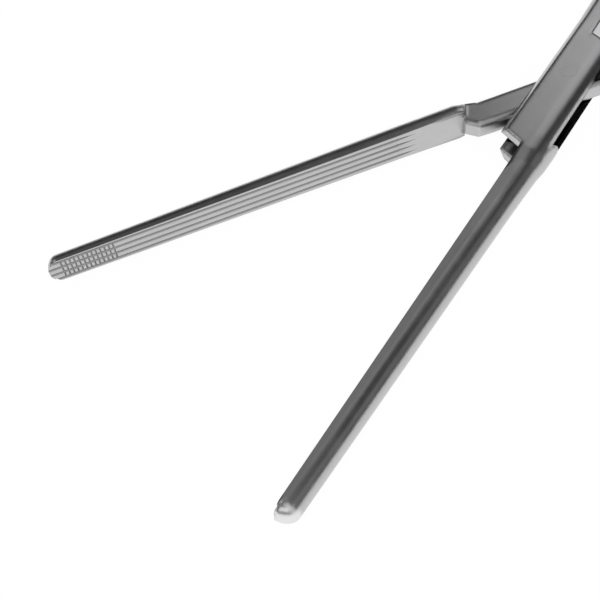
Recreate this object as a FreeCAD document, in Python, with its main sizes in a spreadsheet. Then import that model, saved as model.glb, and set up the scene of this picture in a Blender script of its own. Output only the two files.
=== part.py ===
"""Box-lock ratchet forceps, straight, with lengthwise grooved jaws. Millimetres.

Two forgings and a rivet. Each half is drawn in its own frame as it lies when the jaws are shut: the
pivot axis is Z, Z = 0 is the middle of the thickness, the jaws point to -X and meet on Y = 0. The
female half has its jaw on -Y and its shank on +Y, and the male half the other way round. Their
placements turn them apart to the opening they rest at and lift them until the underside of the
box lies at Z = 0.
"""
import FreeCAD, Part
import Sketcher
import math
import os
from FreeCAD import Placement, Rotation, Vector

doc = FreeCAD.newDocument("forceps")

# Driving dimensions
DIMENSIONS = {
    # Rest pose
    "rest_opening_deg": 36.0,       # angle between the jaws
    # Jaws
    "jaw_length": 80.0,             # pivot axis to tip
    "face_gap": 0.1,                # between the two faces when shut
    "tip_half_height": 1.9,
    "tip_depth": 2.45,
    "dome_length": 1.7,             # rounding of the tip
    "taper_end": 27.0,              # the jaw tapers evenly from the tip to here
    "taper_half_height": 2.25,
    "taper_depth": 3.6,
    "rise_station": 23.0,           # from the taper's end it swells to the lock
    "rise_half_height": 2.32,
    "rise_depth": 3.73,
    "flare_station": 19.2,          # here it starts to flare
    "flare_half_height": 2.47,
    "flare_depth": 3.88,
    "shoulder_station": 17.1,
    "shoulder_half_height": 2.86,
    "shoulder_depth": 4.12,
    "root_station": 14.2,           # here its section is that of the box
    "slim_depth": 3.4,              # of the male jaw, which stays slim up to its shoulder
    "slim_half_height": 2.45,
    "slim_end": 17.6,
    "shoulder_depth_at_neck": 2.7,
    "shoulder_half_at_neck": 1.85,
    # Pattern of the jaw faces
    "groove_spacing": 1.02,
    "groove_count": 4,
    "groove_width": 0.42,
    "groove_depth": 0.24,
    "groove_end": 24.5,             # end of the run-out from the pivot axis
    "groove_runout": 3.0,
    "serration_start": 2.0,         # first cross cut from the tip
    "serration_pitch": 0.62,
    "serration_count": 13,
    "serration_width": 0.3,
    "serration_depth": 0.16,
    "serration_border": 0.12,        # cuts reach this far past the outer grooves
    # Box of the lock
    "box_thickness": 5.8,
    "box_width": 8.4,
    "box_crown": 1.4,               # roundness of the +Y side; the -Y side is a half circle
    "plate_front": 16.5,            # distal edge of the plates where it crosses Y = 0
    "plate_back": 9.7,              # proximal edge there
    "plate_slant": 0.5,             # both edges run this much along X for each 1 along Y
    "plate_lap": 0.5,               # plates reach this far past Y = 0 into jaw and shank
    "slot_height": 3.2,
    "slot_nose_x": 17.6,
    "slot_nose_y": 1.15,
    "slot_knee_x": 16.2,
    "slot_knee_y": 2.85,
    "slot_side_x": 12.9,            # end of the slot in the outer side
    "slot_stop_x": 0.7,             # end of the slot in the other side, which stops the opening
    "slot_heel_x": 9.9,
    "slot_heel_y": 0.3,
    # Tenon of the male half
    "tenon_clearance": 0.05,        # above and below the tenon
    "nose_clearance": 0.35,         # between its nose and the end of the slot
    "shoulder_clearance": 0.35,     # between its shoulders and the plates
    "tenon_back": 2.4,
    "tenon_back_rounding": 1.1,
    "tenon_edge": 0.6,
    "tenon_heel_x": 3.5,
    "tenon_side_front": 2.65,
    "tenon_side_rear": 3.1,
    # Pin
    "pin_radius": 1.2,
    "pin_seat_clearance": 0.01,
    "pin_running_clearance": 0.03,
    # Shanks: distances of the inner and outer side from Y = 0, and roundness inside
    "shank_start": 8.2,
    "shank_end": 84.0,              # from here the shank runs straight into the ring
    "shank_steps": 12,
    "shank_half_height": 2.0,
    "inner_start": 0.3,
    "inner_end": 6.2,
    "outer_start": 4.2,
    "outer_end": 9.9,
    "bulge_start": 0.05,
    "bulge_end": 1.5,
    "crown_end": 1.7,               # roundness outside, which starts as that of the box
    # Finger rings
    "overall_rear": 123.0,          # pivot axis to the rear end of the rings
    "bore_length": 27.0,
    "bore_width": 21.0,
    "ring_bar": 4.2,
    "ring_height": 4.4,
    "ring_crown": 1.15,             # roundness of the bar's inner and outer side
    "ring_end_radius": 11.0,        # of the bar's middle line at both ends of the oval
    "ring_inner_side": 6.0,         # inner side of a ring from Y = 0
    # Ratchet arms
    "arm_station": 80.0,            # middle of the arms along X
    "ratchet_length": 6.5,
    "ratchet_reach": 5.4,           # beyond Y = 0
    "ratchet_thickness": 1.5,
    "ratchet_gap": 0.1,             # between the tooth tips of the two arms
    "tooth_pitch": 1.7,
    "tooth_height": 0.7,
    "tooth_count": 5,
}
sheet = doc.addObject("Spreadsheet::Sheet", "Params")
for row, (alias, value) in enumerate(DIMENSIONS.items(), start=1):
    sheet.set("A%d" % row, alias)
    sheet.set("B%d" % row, str(value))
    sheet.setAlias("B%d" % row, alias)
doc.recompute()

FEMALE = -1     # side of Y on which the half has its jaw
MALE = 1
FAR = 6.0       # half width of cutting outlines, clear of the box


def worth(expression):
    """Number that an expression of sheet cells gives."""
    result = sheet.evalExpression(expression)
    return float(getattr(result, "Value", result))


def new_sketch(body, name, role, offset=None):
    """Sketch on an origin plane of its body, moved along the plane's normal."""
    sketch = body.newObject("Sketcher::SketchObject", name)
    support = next(item for item in body.Origin.OriginFeatures if item.Role == role)
    sketch.AttachmentSupport = [(support, "")]
    sketch.MapMode = "FlatFace"
    if offset is not None:
        sketch.setExpression(".AttachmentOffset.Base.z", offset)
    return sketch


def bind(sketch, kind, geometry, point, expression):
    """Tie one signed coordinate of a point to the sheet."""
    index = sketch.addConstraint(Sketcher.Constraint(kind, -1, 1, geometry, point, worth(expression)))
    sketch.setExpression("Constraints[%d]" % index, expression)


def join(sketch, first, first_point, second, second_point):
    sketch.addConstraint(Sketcher.Constraint("Coincident", first, first_point, second, second_point))


def outline(sketch, corners):
    """Closed outline of straight lines through corners given as pairs of expressions."""
    points = [Vector(worth(x), worth(y), 0) for x, y in corners]
    lines = [sketch.addGeometry(Part.LineSegment(points[i], points[(i + 1) % len(points)]))
             for i in range(len(points))]
    for i, line in enumerate(lines):
        join(sketch, line, 2, lines[(i + 1) % len(lines)], 1)
        bind(sketch, "DistanceX", line, 1, corners[i][0])
        bind(sketch, "DistanceY", line, 1, corners[i][1])


def arc(sketch, hub, radius, middle_deg, half_deg):
    """Arc about a point on the sketch's X axis that opens evenly about middle_deg."""
    circle = Part.Circle(Vector(hub, 0, 0), Vector(0, 0, 1), radius)
    start = math.radians(middle_deg - half_deg)
    end = math.radians(middle_deg + half_deg)
    return sketch.addGeometry(Part.ArcOfCircle(circle, start, end))


def section(sketch, side, inner, outer, half, bulge=None, crown=None):
    """Cross section of a bar: level top and bottom, an arc on its outer side.

    The arc stands out by crown, or is a half circle without it. The inner side is flat, or an arc
    that stands out by bulge. Sides are distances from Y = 0.
    """
    crown = crown or half
    edge = "%d * (%s - %s)" % (side, outer, crown)
    seat = "%d * (%s + %s)" % (side, inner, bulge or "0")
    high = Vector(0, worth(half), 0)
    at_edge = Vector(worth(edge), 0, 0)
    at_seat = Vector(worth(seat), 0, 0)
    top = sketch.addGeometry(Part.LineSegment(at_seat + high, at_edge + high))
    bottom = sketch.addGeometry(Part.LineSegment(at_edge - high, at_seat - high))
    radius = "((%s)^2 + (%s)^2) / (2 * (%s))"
    hub = "%d * (%s - %s)" % (side, outer, radius % (half, crown, crown))
    round_radius = worth(radius % (half, crown, crown))
    spread = math.degrees(math.asin(min(1.0, worth(half) / round_radius)))
    back = arc(sketch, worth(hub), round_radius, 0 if side > 0 else 180, spread)
    upper, lower = (2, 1) if side > 0 else (1, 2)
    join(sketch, top, 2, back, upper)
    join(sketch, bottom, 1, back, lower)
    bind(sketch, "DistanceX", back, 3, hub)
    if bulge is None:
        face = sketch.addGeometry(Part.LineSegment(at_seat - high, at_seat + high))
        face_lower, face_upper = 1, 2
    else:
        hub = "%d * (%s + %s)" % (side, inner, radius % (half, bulge, bulge))
        round_radius = worth(radius % (half, bulge, bulge))
        spread = math.degrees(math.asin(min(1.0, worth(half) / round_radius)))
        face = arc(sketch, worth(hub), round_radius, 180 if side > 0 else 0, spread)
        face_lower, face_upper = (2, 1) if side > 0 else (1, 2)
        bind(sketch, "DistanceX", face, 3, hub)
    join(sketch, face, face_lower, bottom, 2)
    join(sketch, face, face_upper, top, 1)
    for line, point, x, y in ((top, 1, seat, half), (top, 2, edge, half),
                              (bottom, 1, edge, "-" + half), (bottom, 2, seat, "-" + half)):
        bind(sketch, "DistanceX", line, point, x)
        bind(sketch, "DistanceY", line, point, y)


def loft(body, name, sketches, kind="PartDesign::AdditiveLoft", ruled=False):
    feature = body.newObject(kind, name)
    feature.Profile = sketches[0]
    feature.Sections = sketches[1:]
    feature.Ruled = ruled
    return feature


def extrude(body, name, sketch, length, kind="PartDesign::Pad", symmetric=False, backward=False):
    """Pad or pocket of a given length; backward turns it to the other side of the sketch."""
    feature = body.newObject(kind, name)
    feature.Profile = sketch
    feature.SideType = "Symmetric" if symmetric else "One side"
    feature.Reversed = backward
    feature.setExpression("Length", length)
    return feature


def cut(body, name, sketch, length, symmetric=False, upward=False):
    """Pocket that has to take material away: below its sketch, or above it if upward."""
    doc.recompute()
    before = body.Shape.Volume
    feature = extrude(body, name, sketch, length, "PartDesign::Pocket", symmetric, upward)
    doc.recompute()
    if body.Shape.Volume >= before - 1e-6:
        raise RuntimeError("%s removes nothing" % name)
    return feature


def soften(body, kind, name, feature, size, wanted):
    """Fillet or chamfer on those edges of a feature whose box passes the test."""
    doc.recompute()
    edges = ["Edge%d" % (i + 1) for i, edge in enumerate(feature.Shape.Edges)
             if wanted(edge.BoundBox)]
    softened = body.newObject("PartDesign::" + kind, name)
    softened.Base = (feature, edges)
    softened.setExpression("Radius" if kind == "Fillet" else "Size", size)
    doc.recompute()
    return softened


def ring_arc(body, name, plane, offset, centre, radius, angle):
    """Arc of the ring's bar, turned about an upright axis; centre and radius lie in its plane."""
    sketch = new_sketch(body, name + "_profile", plane, offset)
    x = worth(centre)
    reach = worth("Params.ring_bar")
    axis = sketch.addGeometry(Part.LineSegment(Vector(x, -reach, 0), Vector(x, reach, 0)), True)
    for point, level in ((1, "-Params.ring_bar"), (2, "Params.ring_bar")):
        bind(sketch, "DistanceX", axis, point, centre)
        bind(sketch, "DistanceY", axis, point, level)
    inner = "(%s + %s - Params.ring_bar / 2)" % (centre, radius)
    outer = "(%s + %s + Params.ring_bar / 2)" % (centre, radius)
    section(sketch, 1, inner, outer, "(Params.ring_height / 2)", "Params.ring_crown",
            "Params.ring_crown")
    turned = body.newObject("PartDesign::Revolution", name)
    turned.Profile = sketch
    turned.ReferenceAxis = (sketch, ["Axis0"])
    turned.Midplane = True
    turned.setExpression("Angle", angle)
    return turned


def finger_ring(body, side):
    """Oval loop of even bar, made of two end arcs and two flatter side arcs that run into them."""
    middle_x = "(Params.overall_rear - Params.ring_bar - Params.bore_length / 2)"
    middle_y = "(%d * (Params.ring_inner_side + Params.ring_bar + Params.bore_width / 2))" % side
    half_length = "((Params.bore_length + Params.ring_bar) / 2)"
    half_width = "((Params.bore_width + Params.ring_bar) / 2)"
    end = "Params.ring_end_radius"
    shift_x = "(%s - %s)" % (half_length, end)
    spare = "(%s - %s)" % (half_width, end)
    shift_y = "((%s^2 - %s^2) / (2 * %s))" % (shift_x, spare, spare)
    side_radius = "(%s + %s)" % (half_width, shift_y)
    turn = "(atan(%s / %s))" % (shift_y, shift_x)
    rear = "(%s + %s)" % (middle_x, shift_x)
    front = "(%s - %s)" % (middle_x, shift_x)
    ring_arc(body, "ring_rear", "XZ_Plane", "-" + middle_y, rear, end, "2 * " + turn)
    ring_arc(body, "ring_front", "XZ_Plane", "-" + middle_y, front, "(-%s)" % end, "2 * " + turn)
    for name, way in (("ring_right", 1), ("ring_left", -1)):
        centre = "(%s - %d * %s)" % (middle_y, way, shift_y)
        radius = "(%d * %s)" % (way, side_radius)
        ring_arc(body, name, "YZ_Plane", middle_x, centre, radius, "180 deg - 2 * " + turn)


def jaw(body, side):
    """Jaw from the lock to its domed tip, flat on the side that meets the other jaw.

    It tapers evenly up to the taper's end. From there the female jaw swells to the box, and the
    male jaw stays slim and slopes down to its shoulder.
    """
    dome = "Params.dome_length"
    rows = [("dome_%d" % turn, "(Params.jaw_length - %s * (1 - sin(%d deg)))" % (dome, turn),
             "(Params.face_gap / 2 + (Params.tip_depth - Params.face_gap / 2) * cos(%d deg))" % turn,
             "(Params.tip_half_height * cos(%d deg))" % turn) for turn in (80, 55, 30, 0)]
    if side == FEMALE:
        rows += [("taper", "Params.taper_end", "Params.taper_depth", "Params.taper_half_height"),
                 ("rise", "Params.rise_station", "Params.rise_depth", "Params.rise_half_height"),
                 ("flare", "Params.flare_station", "Params.flare_depth",
                  "Params.flare_half_height"),
                 ("shoulder", "Params.shoulder_station", "Params.shoulder_depth",
                  "Params.shoulder_half_height"),
                 ("root", "Params.root_station", "(Params.box_width / 2)",
                  "(Params.box_thickness / 2)")]
    else:
        rows += [("taper", "Params.taper_end", "Params.slim_depth", "Params.taper_half_height"),
                 ("rise", "Params.rise_station", "Params.slim_depth",
                  "((Params.taper_half_height + Params.slim_half_height) / 2)"),
                 ("slim", "Params.slim_end", "Params.slim_depth", "Params.slim_half_height"),
                 ("root", "Params.root_station", "Params.shoulder_depth_at_neck",
                  "Params.shoulder_half_at_neck")]
    sketches = []
    for name, station, depth, half in rows:
        sketch = new_sketch(body, "jaw_" + name, "YZ_Plane", "-(%s)" % station)
        section(sketch, side, "Params.face_gap / 2", depth, half)
        sketches.append(sketch)
    loft(body, "jaw_taper", sketches[3:5], ruled=True)
    loft(body, "jaw_dome", sketches[:4])
    loft(body, "jaw_swell", sketches[4:7])
    loft(body, "jaw_root", sketches[6:], ruled=True)


def shank(body, side):
    """Shank from the lock to the ring, swung outwards in an S.

    It is flat inside at the lock and turns into a bar that is nearly round.
    """
    rear = "(Params.overall_rear - Params.ring_bar - Params.bore_length / 2)"
    swing = "(Params.%s_start + (Params.%s_end - Params.%s_start) * (1 - cos(180 deg * %s)) / 2)"
    sketches = []
    steps = int(worth("Params.shank_steps"))
    for step in range(steps + 2):
        share = "(%d / Params.shank_steps)" % min(step, steps)
        station = "(Params.shank_start + (Params.shank_end - Params.shank_start) * %s)" % share
        if step > steps:
            station = rear
        inner = swing % ("inner", "inner", "inner", share)
        outer = swing % ("outer", "outer", "outer", share)
        half = ("(Params.shank_half_height + (Params.box_thickness / 2 - Params.shank_half_height)"
                " * (1 - %s)^3)" % share)
        bulge = "(Params.bulge_start + (Params.bulge_end - Params.bulge_start) * %s)" % share
        sketch = new_sketch(body, "shank_%d" % step, "YZ_Plane", station)
        crown = ("(Params.box_crown + (Params.crown_end - Params.box_crown)"
                 " * (1 - (1 - %s)^3))" % share)
        section(sketch, side, inner, outer, half, bulge, crown)
        sketches.append(sketch)
    return loft(body, "shank", sketches, ruled=True)


def ratchet_arm(body, side):
    """Arm that crosses to the other shank, with teeth towards the other arm.

    side is that of the shank. The arm of the +Y shank runs below the middle plane, the other above.
    """
    rows = "%d * Params.%s"
    start = "Params.arm_station - Params.ratchet_length / 2"
    sketch = new_sketch(body, "ratchet_profile", "YZ_Plane", start)
    tip = "-%d * (Params.ratchet_gap / 2)" % side
    root = "-%d * (Params.ratchet_gap / 2 + Params.tooth_height)" % side
    outside = "-%d * (Params.ratchet_gap / 2 + Params.tooth_height + Params.ratchet_thickness)" % side
    inside_shank = "%d * (Params.inner_end + Params.outer_end) / 2" % side
    corners = [(inside_shank, root), (inside_shank, outside),
               ("-" + rows % (side, "ratchet_reach"), outside)]
    reach = "(-Params.ratchet_reach + %d * Params.tooth_pitch)"
    for tooth in range(int(worth("Params.tooth_count"))):
        corners.append(("%d * " % side + reach % tooth, root))
        corners.append(("%d * " % side + reach % (tooth + 1), tip))
    corners.append(("%d * " % side + reach % worth("Params.tooth_count"), root))
    outline(sketch, corners)
    extrude(body, "ratchet_arm", sketch, "Params.ratchet_length")


def face_pattern(body, side):
    """Lengthwise V grooves with a run-out, and the cross cuts near the tip."""
    bottom = "%d * (Params.face_gap / 2 + Params.groove_depth)" % side
    above = "%d * (Params.face_gap / 2 - Params.groove_depth)" % side
    first = "-(Params.groove_count - 1) / 2 * Params.groove_spacing"
    sketches = []
    for name, station, share in (("tip", "Params.jaw_length + 1", "1"),
                                 ("full", "Params.groove_end + Params.groove_runout", "1"),
                                 ("out", "Params.groove_end", "0.02")):
        sketch = new_sketch(body, "groove_" + name, "YZ_Plane", "-(%s)" % station)
        depth = "%d * (Params.face_gap / 2 + Params.groove_depth * %s)" % (side, share)
        half = "Params.groove_width * %s" % share
        outline(sketch, [(depth, first), (above, first + " + " + half),
                         (above, first + " - " + half)])
        sketches.append(sketch)
    groove = loft(body, "groove", sketches, "PartDesign::SubtractiveLoft", ruled=True)
    doc.recompute()
    rows = body.newObject("PartDesign::LinearPattern", "grooves")
    rows.Originals = [groove]
    rows.Direction = (sketches[0], ["V_Axis"])
    rows.Mode = "Spacing"
    rows.setExpression("Offset", "Params.groove_spacing")
    rows.setExpression("Occurrences", "Params.groove_count")
    body.Tip = rows

    sketch = new_sketch(body, "serration_profile", "XY_Plane")
    place = "-(Params.jaw_length - Params.serration_start)"
    floor = "%d * (Params.face_gap / 2 + Params.serration_depth)" % side
    mouth = "%d * (Params.face_gap / 2 - Params.serration_depth)" % side
    outline(sketch, [(place, floor), (place + " - Params.serration_width", mouth),
                     (place + " + Params.serration_width", mouth)])
    reach = "(Params.groove_count - 1) * Params.groove_spacing + 2 * Params.serration_border"
    serration = cut(body, "serration", sketch, reach, symmetric=True)
    rows = body.newObject("PartDesign::LinearPattern", "serrations")
    rows.Originals = [serration]
    rows.Direction = (sketch, ["H_Axis"])
    rows.Mode = "Spacing"
    rows.setExpression("Offset", "Params.serration_pitch")
    rows.setExpression("Occurrences", "Params.serration_count")
    body.Tip = rows


def pin_hole(body, clearance):
    sketch = new_sketch(body, "pin_circle", "XY_Plane")
    radius = "Params.pin_radius + " + clearance
    circle = Part.Circle(Vector(0, 0, 0), Vector(0, 0, 1), worth(radius))
    hole = sketch.addGeometry(circle)
    join(sketch, hole, 3, -1, 1)
    index = sketch.addConstraint(Sketcher.Constraint("Radius", hole, worth(radius)))
    sketch.setExpression("Constraints[%d]" % index, radius)
    cut(body, "pin_hole", sketch, "2 * Params.box_thickness", symmetric=True)


def slanted(front, y):
    """X on the distal (front) or proximal edge of the plates at a given Y."""
    edge = "-Params.plate_front" if front else "Params.plate_back"
    return "(%s + Params.plate_slant * (%s))" % (edge, y)


def box(body):
    """Both plates of the lock in one block, cut slantwise fore and aft."""
    start = "(Params.plate_front + 1)"
    sketch = new_sketch(body, "box_section", "YZ_Plane", "-" + start)
    half = "(Params.box_thickness / 2)"
    section(sketch, 1, "(-Params.box_width / 2)", "(Params.box_width / 2)", half, half,
            "Params.box_crown")
    extrude(body, "box", sketch, "Params.plate_front + Params.plate_back + 2")
    far = str(FAR)
    lap = "Params.plate_lap"
    sketch = new_sketch(body, "front_outline", "XY_Plane")
    beyond = "(-Params.plate_front - 5)"
    outline(sketch, [(beyond, far), (slanted(True, far), far),
                     (slanted(True, "-" + lap), "-" + lap), ("-Params.root_station", "-" + lap),
                     ("-Params.root_station", "-" + far), (beyond, "-" + far)])
    cut(body, "front_trim", sketch, "2 * Params.box_thickness", symmetric=True)
    sketch = new_sketch(body, "back_outline", "XY_Plane")
    beyond = "(Params.plate_back + 5)"
    outline(sketch, [(beyond, "-" + far), (slanted(False, "-" + far), "-" + far),
                     (slanted(False, lap), lap), ("Params.shank_start", lap),
                     ("Params.shank_start", far), (beyond, far)])
    cut(body, "back_trim", sketch, "2 * Params.box_thickness", symmetric=True)


def slot(body):
    """Slot through the box for the tenon."""
    far = str(FAR)
    sketch = new_sketch(body, "slot_outline", "XY_Plane")
    rear = "(Params.plate_back + 5)"
    outline(sketch, [("-Params.slot_nose_x", far), ("-Params.slot_nose_x", "-Params.slot_nose_y"),
                     ("-Params.slot_knee_x", "-Params.slot_knee_y"),
                     ("-Params.slot_side_x", "-(Params.box_width / 2)"),
                     ("-Params.slot_side_x", "-" + far), (rear, "-" + far), (rear, "0"),
                     ("Params.slot_heel_x", "Params.slot_heel_y"),
                     ("Params.slot_stop_x", "(Params.box_width / 2)"),
                     ("Params.slot_stop_x", far)])
    cut(body, "slot", sketch, "Params.slot_height", symmetric=True)


def tenon(body):
    """Flat tongue between jaw and shank that passes through the slot."""
    sketch = new_sketch(body, "tenon_outline", "XY_Plane")
    shift = "Params.nose_clearance"
    nose_x = "(-Params.slot_nose_x + %s)" % shift
    outline(sketch, [
        (nose_x, "Params.tenon_back"),
        (nose_x, "(-Params.slot_nose_y + %s / 2)" % shift),
        ("(-Params.slot_knee_x + %s)" % shift, "(-Params.slot_knee_y + %s)" % shift),
        ("(-Params.slot_side_x - %s)" % shift, "-Params.tenon_side_front"),
        ("(-Params.slot_side_x + 2 * %s)" % shift, "-Params.tenon_side_front"),
        (slanted(False, "-Params.tenon_side_rear") + " + 2", "-Params.tenon_side_rear"),
        (slanted(False, "0") + " + 2", "-Params.inner_start - 0.2"),
        (slanted(False, "0"), "-Params.inner_start"),
        ("Params.tenon_heel_x", "Params.tenon_back")])
    height = "Params.slot_height - 2 * Params.tenon_clearance"
    blank = extrude(body, "tenon", sketch, height, symmetric=True)
    back = worth("Params.tenon_back")
    rounded = soften(body, "Fillet", "tenon_back_rounding", blank, "Params.tenon_back_rounding",
                     lambda box: box.ZLength < 1e-6 and abs(box.YMin - back) < 1e-6)
    soften(body, "Chamfer", "tenon_edges", rounded, "Params.tenon_edge",
           lambda box: box.ZLength < 1e-6 and box.XMin < 0 and box.YMax < 0)


def shoulders(body):
    """Space for the two plates, above and below the tenon."""
    far = str(FAR)
    half = "(Params.slot_height / 2 - Params.tenon_clearance)"
    gap = "Params.shoulder_clearance"
    for name, height, upward in (("upper_seat", half, True), ("lower_seat", "-" + half, False)):
        sketch = new_sketch(body, name + "_outline", "XY_Plane", height)
        outline(sketch, [(slanted(True, far) + " - " + gap, far),
                         (slanted(True, "-" + far) + " - " + gap, "-" + far),
                         (slanted(False, "-" + far) + " + " + gap, "-" + far),
                         (slanted(False, far) + " + " + gap, far)])
        cut(body, name, sketch, "Params.box_thickness", upward=upward)


def place(body, turn):
    """Turn a half by its share of the opening and stand the box's underside on Z = 0."""
    lift = Vector(0, 0, worth("Params.box_thickness / 2"))
    body.Placement = Placement(lift, Rotation(Vector(0, 0, 1), turn))


def female_half():
    """Jaw, box with its two plates and slot, shank, ratchet arm and finger ring: one forging."""
    body = doc.addObject("PartDesign::Body", "female_half")
    body.AllowCompound = True
    finger_ring(body, -FEMALE)
    box(body)
    jaw(body, FEMALE)
    shank(body, -FEMALE)
    ratchet_arm(body, -FEMALE)
    slot(body)
    pin_hole(body, "Params.pin_seat_clearance")
    face_pattern(body, FEMALE)
    place(body, worth("Params.rest_opening_deg / 2"))
    return body


def male_half():
    """Jaw, tenon, shank, ratchet arm and finger ring: one forging."""
    body = doc.addObject("PartDesign::Body", "male_half")
    body.AllowCompound = True
    tenon(body)
    finger_ring(body, -MALE)
    jaw(body, MALE)
    shank(body, -MALE)
    ratchet_arm(body, -MALE)
    shoulders(body)
    pin_hole(body, "Params.pin_running_clearance")
    face_pattern(body, MALE)
    place(body, worth("-Params.rest_opening_deg / 2"))
    return body


def pivot_pin():
    """Rivet through both plates and the tenon, its ends ground flush with the box."""
    pin = doc.addObject("Part::Cylinder", "pivot_pin")
    pin.setExpression("Radius", "Params.pin_radius")
    pin.setExpression("Height", "Params.box_thickness")
    return pin


parts = [female_half(), male_half(), pivot_pin()]
doc.recompute()

for item in doc.Objects:
    if "Invalid" in item.State or "Error" in item.State:
        raise RuntimeError("%s did not compute: %s" % (item.Name, item.State))
for part in parts:
    if part.Shape.isNull() or not part.Shape.isValid():
        raise RuntimeError("%s has no valid shape" % part.Label)
    if len(part.Shape.Solids) != 1:
        raise RuntimeError("%s has %d solids" % (part.Label, len(part.Shape.Solids)))

os.makedirs("parts", exist_ok=True)
for part in parts:
    part.Shape.exportStep("parts/%s.step" % part.Label)
    print(part.Label, round(part.Shape.Volume, 2), "mm3")
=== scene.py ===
import bpy
import math
from mathutils import Matrix, Vector

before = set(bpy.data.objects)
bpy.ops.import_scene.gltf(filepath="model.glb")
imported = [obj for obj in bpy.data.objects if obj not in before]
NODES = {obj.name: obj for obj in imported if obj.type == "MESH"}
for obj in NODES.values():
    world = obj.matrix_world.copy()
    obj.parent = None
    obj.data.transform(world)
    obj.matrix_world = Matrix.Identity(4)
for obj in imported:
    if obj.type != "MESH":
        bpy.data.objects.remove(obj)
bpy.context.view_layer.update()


# Places on the part, in metres and degrees

FEMALE_TURN = 18.0              # from the X axis to the middle line of the half
MALE_TURN = -18.0
PIN_TURN = 0.0
BOX_MIDDLE = 0.0029             # middle of the box above its underside
SLOT_HALF = 0.00162             # half height of the slot, with a little to spare
FEMALE_SLOT = (-0.0129, 0.0110, 0.0)        # start and end along the half, and core
MALE_SLOT = (-0.0010, 0.0112, 0.0015)
SLOT_START_BLUR = 0.0002        # how far the slot's painted shade takes to fade in and out
SLOT_END_BLUR = 0.0004
SLOT_TOP_BLUR = 0.00005
CORE_BLUR = 0.00003
RIVET_RIM = (0.0014, 0.0018)    # distances from the pivot where the soft edges start
LOCK_END = (0.0200, 0.0225)     # where the lock's soft edges end
NEAR_HIGHLIT_TIP = (0.0776, 0.0786)     # where the near jaw's rounded tip with its painted highlight starts


# Steel

LOCK_EDGE = 0.0009              # softness of the edges around the lock
JAW_EDGE = 0.00008              # and of those further out
TIP_EDGE = 0.0007               # what the rounded tip adds to it
SLOT_PAINTED_SHADE = 0.96                # share of the steel's colour that the slot's painted shade takes away
TIP_PAINTED_HIGHLIGHT = 1.5                # how much paler the tip is painted, a painted highlight
LINE_SCALE = (60, 1400, 1400)   # polishing lines along the half, coarse and fine
FINE_SCALE = (400, 5200, 5200)
CLOUD_SCALE = 420.0
SPECK_SCALE = 2600.0
WIDE_REACH = 0.004              # how far away steel still shades, in the lock and in the grooves
NEAR_REACH = 0.0007
TONE = 0.54                     # brightness of the steel
CLOUD_TONE = 0.10               # what the clouding, the lines and the worn edges change in it
LINE_TONE = 0.06
EDGE_TONE = 0.12
ROUGHNESS = 0.32
LINE_ROUGHNESS = 0.16           # what the lines, the clouding and the worn edges change in it
CLOUD_ROUGHNESS = 0.10
EDGE_ROUGHNESS = 0.05
RELIEF = 0.00004                # height of the polishing lines
RELIEF_STRENGTH = 0.28


def material(name):
    mat = bpy.data.materials.new(name)
    mat.use_nodes = True
    mat.node_tree.nodes.clear()
    return mat


class Graph:
    """Short calls to add and link shader nodes."""

    def __init__(self, owner):
        self.tree = owner.node_tree

    def add(self, kind, inputs=None, **settings):
        node = self.tree.nodes.new(kind)
        for key, value in settings.items():
            setattr(node, key, value)
        for key, value in (inputs or {}).items():
            self.feed(node.inputs[key], value)
        return node

    def feed(self, socket, value):
        if isinstance(value, bpy.types.NodeSocket):
            self.tree.links.new(value, socket)
        else:
            socket.default_value = value

    def math(self, operation, a, b=0.0, clamp=False):
        node = self.add("ShaderNodeMath", operation=operation, use_clamp=clamp)
        self.feed(node.inputs[0], a)
        self.feed(node.inputs[1], b)
        return node.outputs[0]

    def vector_math(self, operation, a, b=None):
        node = self.add("ShaderNodeVectorMath", operation=operation)
        self.feed(node.inputs[0], a)
        if b is not None:
            self.feed(node.inputs[1], b)
        return node

    def vary(self, value, pattern, amount):
        """Value that a pattern around 0.5 raises and lowers by up to half the amount."""
        change = self.math("MULTIPLY", self.math("SUBTRACT", pattern, 0.5), amount)
        return self.math("ADD", value, change)

    def ramp(self, value, low, high, out_low=0.0, out_high=1.0):
        node = self.add("ShaderNodeMapRange", interpolation_type="SMOOTHSTEP")
        self.feed(node.inputs[0], value)
        for index, number in ((1, low), (2, high), (3, out_low), (4, out_high)):
            node.inputs[index].default_value = number
        return node.outputs[0]

    def noise(self, vector, scale, detail, roughness):
        node = self.add("ShaderNodeTexNoise", {"Scale": scale, "Detail": detail,
                                               "Roughness": roughness})
        self.feed(node.inputs["Vector"], vector)
        return node.outputs[0]

    def turned(self, vector, turn):
        """Coordinates along and across a half whose line is turn degrees from the X axis."""
        node = self.add("ShaderNodeMapping", vector_type="TEXTURE")
        self.feed(node.inputs[0], vector)
        node.inputs["Rotation"].default_value = (0, 0, math.radians(turn))
        return node.outputs[0]

    def stretched(self, vector, turn, scale):
        """Coordinates for streaks along a half."""
        node = self.add("ShaderNodeMapping")
        self.feed(node.inputs[0], self.turned(vector, turn))
        node.inputs["Scale"].default_value = scale
        return node.outputs[0]


def slot_shade(g, place, turn, start, end, core):
    """Painted shade in the lock's slot, where the steel lies in shadow, from start to end along the
    half.

    What lies nearer than core to the middle of the thickness stays bright.
    """
    parts = g.add("ShaderNodeSeparateXYZ")
    g.feed(parts.inputs[0], g.turned(place, turn))
    along = parts.outputs[0]
    level = g.math("ABSOLUTE", g.math("SUBTRACT", parts.outputs[2], BOX_MIDDLE))
    past_start = g.ramp(along, start, start + SLOT_START_BLUR)
    before_end = g.ramp(along, end, end + SLOT_END_BLUR, 1.0, 0.0)
    in_height = g.ramp(level, SLOT_HALF, SLOT_HALF + SLOT_TOP_BLUR, 1.0, 0.0)
    off_core = g.ramp(level, core - CORE_BLUR, core)
    inside = g.math("MULTIPLY", past_start, before_end)
    inside = g.math("MULTIPLY", inside, in_height)
    inside = g.math("MULTIPLY", inside, off_core)
    return g.math("SUBTRACT", 1.0, g.math("MULTIPLY", inside, SLOT_PAINTED_SHADE))


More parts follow.
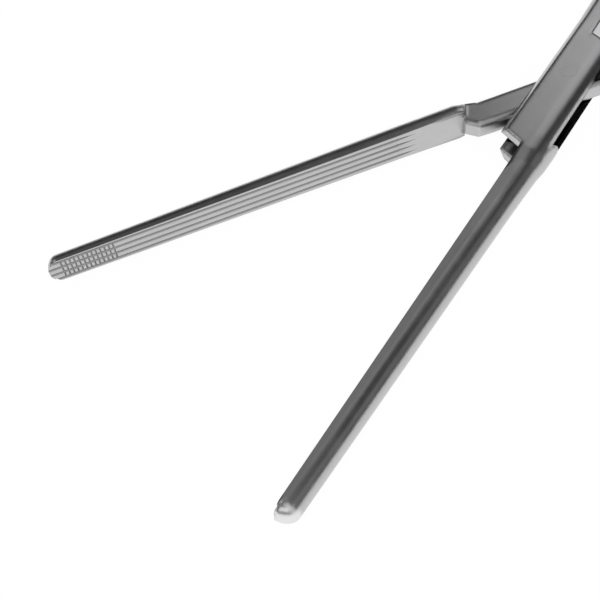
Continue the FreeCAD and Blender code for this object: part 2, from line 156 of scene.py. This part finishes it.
def steel(name, turn, in_slot=None, rounded_highlit_tip=None):
    """Satin steel: fine polishing lines along the half, soft clouding, brighter worn edges.

    The rivet is ground flush with the box, so no edge is softened around it. A rounded tip has
    softer edges, no painted shade, and a painted highlight that makes it paler.
    """
    mat = material(name)
    g = Graph(mat)
    place = g.add("ShaderNodeTexCoord").outputs["Object"]
    lines = g.noise(g.stretched(place, turn, LINE_SCALE), 1.0, 5.0, 0.6)
    fine = g.noise(g.stretched(place, turn, FINE_SCALE), 1.0, 3.0, 0.6)
    cloud = g.noise(place, CLOUD_SCALE, 4.0, 0.55)
    specks = g.noise(place, SPECK_SCALE, 2.0, 0.5)

    # Edges
    level_place = g.vector_math("MULTIPLY", place, (1.0, 1.0, 0.0)).outputs[0]
    distance = g.vector_math("LENGTH", level_place).outputs["Value"]
    softness = g.math("MULTIPLY", g.ramp(distance, *RIVET_RIM),
                      g.ramp(distance, *LOCK_END, LOCK_EDGE, JAW_EDGE))
    if rounded_highlit_tip:
        softness = g.math("ADD", softness, g.ramp(distance, *rounded_highlit_tip, 0.0, TIP_EDGE))
    bevel = g.add("ShaderNodeBevel", samples=12)
    g.feed(bevel.inputs["Radius"], softness)
    flat = g.add("ShaderNodeNewGeometry").outputs["Normal"]
    agreement = g.vector_math("DOT_PRODUCT", bevel.outputs[0], flat).outputs["Value"]
    edge = g.ramp(agreement, 0.80, 0.995, 1.0, 0.0)

    # Shade where the light can't reach, in the lock and in the grooves
    wide = g.add("ShaderNodeAmbientOcclusion", {"Distance": WIDE_REACH}, samples=8,
                 only_local=False)
    near = g.add("ShaderNodeAmbientOcclusion", {"Distance": NEAR_REACH}, samples=8,
                 only_local=True)
    shade = g.ramp(wide.outputs["AO"], 0.18, 0.50, 0.02, 1.0)
    furrow = g.ramp(near.outputs["AO"], 0.35, 0.92, 0.45, 1.0)
    # No painted shade at the rounded tip
    if rounded_highlit_tip:
        furrow = g.math("MAXIMUM", furrow, g.ramp(distance, *rounded_highlit_tip))
    shade = g.math("MULTIPLY", shade, furrow)
    # Painted shade: the steel in the lock's slot is darkened by its place
    if in_slot:
        shade = g.math("MULTIPLY", shade, slot_shade(g, place, turn, *in_slot))

    # Colour
    tone = g.vary(TONE, cloud, CLOUD_TONE)
    tone = g.vary(tone, lines, LINE_TONE)
    tone = g.math("ADD", tone, g.math("MULTIPLY", edge, EDGE_TONE), clamp=True)
    tone = g.math("MULTIPLY", tone, shade)
    # Painted highlight: the near jaw's tip is painted paler
    if rounded_highlit_tip:
        tone = g.math("MULTIPLY", tone, g.ramp(distance, *rounded_highlit_tip, 1.0, TIP_PAINTED_HIGHLIGHT))
    colour = g.add("ShaderNodeCombineColor")
    for channel in range(3):
        g.feed(colour.inputs[channel], tone)

    # Roughness
    rough = g.vary(ROUGHNESS, lines, LINE_ROUGHNESS)
    rough = g.vary(rough, cloud, CLOUD_ROUGHNESS)
    rough = g.math("SUBTRACT", rough, g.math("MULTIPLY", edge, EDGE_ROUGHNESS), clamp=True)

    # Relief
    height = g.math("ADD", g.math("MULTIPLY", lines, 0.6), g.math("MULTIPLY", fine, 0.3))
    height = g.math("ADD", height, g.math("MULTIPLY", specks, 0.1))
    bump = g.add("ShaderNodeBump", {"Strength": RELIEF_STRENGTH, "Distance": RELIEF})
    g.feed(bump.inputs["Height"], height)
    g.feed(bump.inputs["Normal"], bevel.outputs[0])

    shader = g.add("ShaderNodeBsdfPrincipled", {"Metallic": 1.0})
    g.feed(shader.inputs["Base Color"], colour.outputs[0])
    g.feed(shader.inputs["Roughness"], rough)
    g.feed(shader.inputs["Normal"], bump.outputs[0])
    out = g.add("ShaderNodeOutputMaterial")
    g.feed(out.inputs["Surface"], shader.outputs[0])
    return mat


def dress(node, mat):
    data = NODES[node].data
    data.materials.clear()
    data.materials.append(mat)


dress("female_half", steel("satin_steel_female", FEMALE_TURN, FEMALE_SLOT, NEAR_HIGHLIT_TIP))
dress("male_half", steel("satin_steel_male", MALE_TURN, MALE_SLOT))
dress("pivot_pin", steel("satin_steel_pin", PIN_TURN))


# Floor

FLOOR_HALF = 6.0                # half width
FLOOR_LEVEL = -0.0001
FLOOR_SEEN = 0.9                # share of plain white where the floor is seen, the rest keeps the shadow


def floor():
    mesh = bpy.data.meshes.new("floor")
    r = FLOOR_HALF
    z = FLOOR_LEVEL
    mesh.from_pydata([(-r, -r, z), (r, -r, z), (r, r, z), (-r, r, z)], [], [(0, 1, 2, 3)])
    obj = bpy.data.objects.new("floor", mesh)
    bpy.context.scene.collection.objects.link(obj)
    mat = material("floor_white")
    g = Graph(mat)
    diffuse = g.add("ShaderNodeBsdfDiffuse", {"Color": (0.9, 0.9, 0.9, 1.0)})
    glow = g.add("ShaderNodeEmission", {"Color": (1.0, 1.0, 1.0, 1.0), "Strength": 1.08})
    path = g.add("ShaderNodeLightPath")
    seen = g.math("MAXIMUM", path.outputs["Is Camera Ray"], path.outputs["Is Glossy Ray"])
    seen = g.math("MAXIMUM", seen, path.outputs["Is Transmission Ray"])
    mix = g.add("ShaderNodeMixShader")
    g.feed(mix.inputs[0], g.math("MULTIPLY", seen, FLOOR_SEEN))
    g.feed(mix.inputs[1], diffuse.outputs[0])
    g.feed(mix.inputs[2], glow.outputs[0])
    out = g.add("ShaderNodeOutputMaterial")
    g.feed(out.inputs["Surface"], mix.outputs[0])
    mesh.materials.append(mat)


floor()


# Light

PANEL_DISTANCE = 0.8
WORLD_STRENGTH = 0.03


def direction(azimuth, elevation):
    """Unit vector; azimuth counts in degrees from +X towards +Y."""
    turn = math.radians(azimuth)
    rise = math.radians(elevation)
    return Vector((math.cos(rise) * math.cos(turn), math.cos(rise) * math.sin(turn), math.sin(rise)))


def panel(name, azimuth, elevation, size, power):
    """Soft panel that faces the lock; size in metres, power in watts."""
    data = bpy.data.lights.new(name, "AREA")
    data.shape = "RECTANGLE"
    data.size, data.size_y = size
    data.energy = power
    obj = bpy.data.objects.new(name, data)
    way = direction(azimuth, elevation)
    obj.location = way * PANEL_DISTANCE
    obj.rotation_euler = way.to_track_quat("Z", "Y").to_euler()
    bpy.context.scene.collection.objects.link(obj)


world = bpy.data.worlds.new("studio")
bpy.context.scene.world = world
world.use_nodes = True
world.node_tree.nodes.clear()
w = Graph(world)
ground = w.add("ShaderNodeBackground", {"Color": (1.0, 1.0, 1.0, 1.0), "Strength": WORLD_STRENGTH})
w.feed(w.add("ShaderNodeOutputWorld").inputs["Surface"], ground.outputs[0])
panel("key", 22, 33, (0.45, 0.42), 0.50)
panel("top", 50, 66, (0.4, 0.4), 0.16)
panel("overhead", -110, 66, (0.5, 0.5), 0.50)
panel("front", -90, 26, (0.6, 0.8), 0.85)
panel("fill", -150, 33, (0.9, 0.4), 1.10)
panel("rear", 120, 45, (0.4, 0.4), 0.45)
panel("right", -42, 28, (0.4, 0.4), 0.09)


# Camera: the photograph's viewpoint, close above the jaws

CAMERA_PLACE = (-0.097144, -0.072435, 0.102813)
CAMERA_AZIMUTH = -31.67
CAMERA_ELEVATION = 50.79
CAMERA_ROLL = 10.2
LENS_MM = 60.0
SENSOR_MM = 36.0


def camera():
    data = bpy.data.cameras.new("camera")
    data.sensor_width = SENSOR_MM
    data.lens = LENS_MM
    data.clip_start = 0.005
    data.clip_end = 20.0
    obj = bpy.data.objects.new("camera", data)
    azimuth = math.radians(CAMERA_AZIMUTH)
    elevation = math.radians(CAMERA_ELEVATION)
    roll = math.radians(CAMERA_ROLL)
    back = Vector((math.sin(azimuth) * math.cos(elevation), -math.cos(azimuth) * math.cos(elevation),
                   math.sin(elevation)))
    right = Vector((math.cos(azimuth), math.sin(azimuth), 0.0))
    up = back.cross(right)
    rolled_right = right * math.cos(roll) - up * math.sin(roll)
    rolled_up = right * math.sin(roll) + up * math.cos(roll)
    spin = Matrix((rolled_right, rolled_up, back)).transposed()
    obj.matrix_world = Matrix.Translation(CAMERA_PLACE) @ spin.to_4x4()
    bpy.context.scene.collection.objects.link(obj)
    bpy.context.scene.camera = obj


camera()
bpy.context.scene.view_settings.view_transform = "Standard"
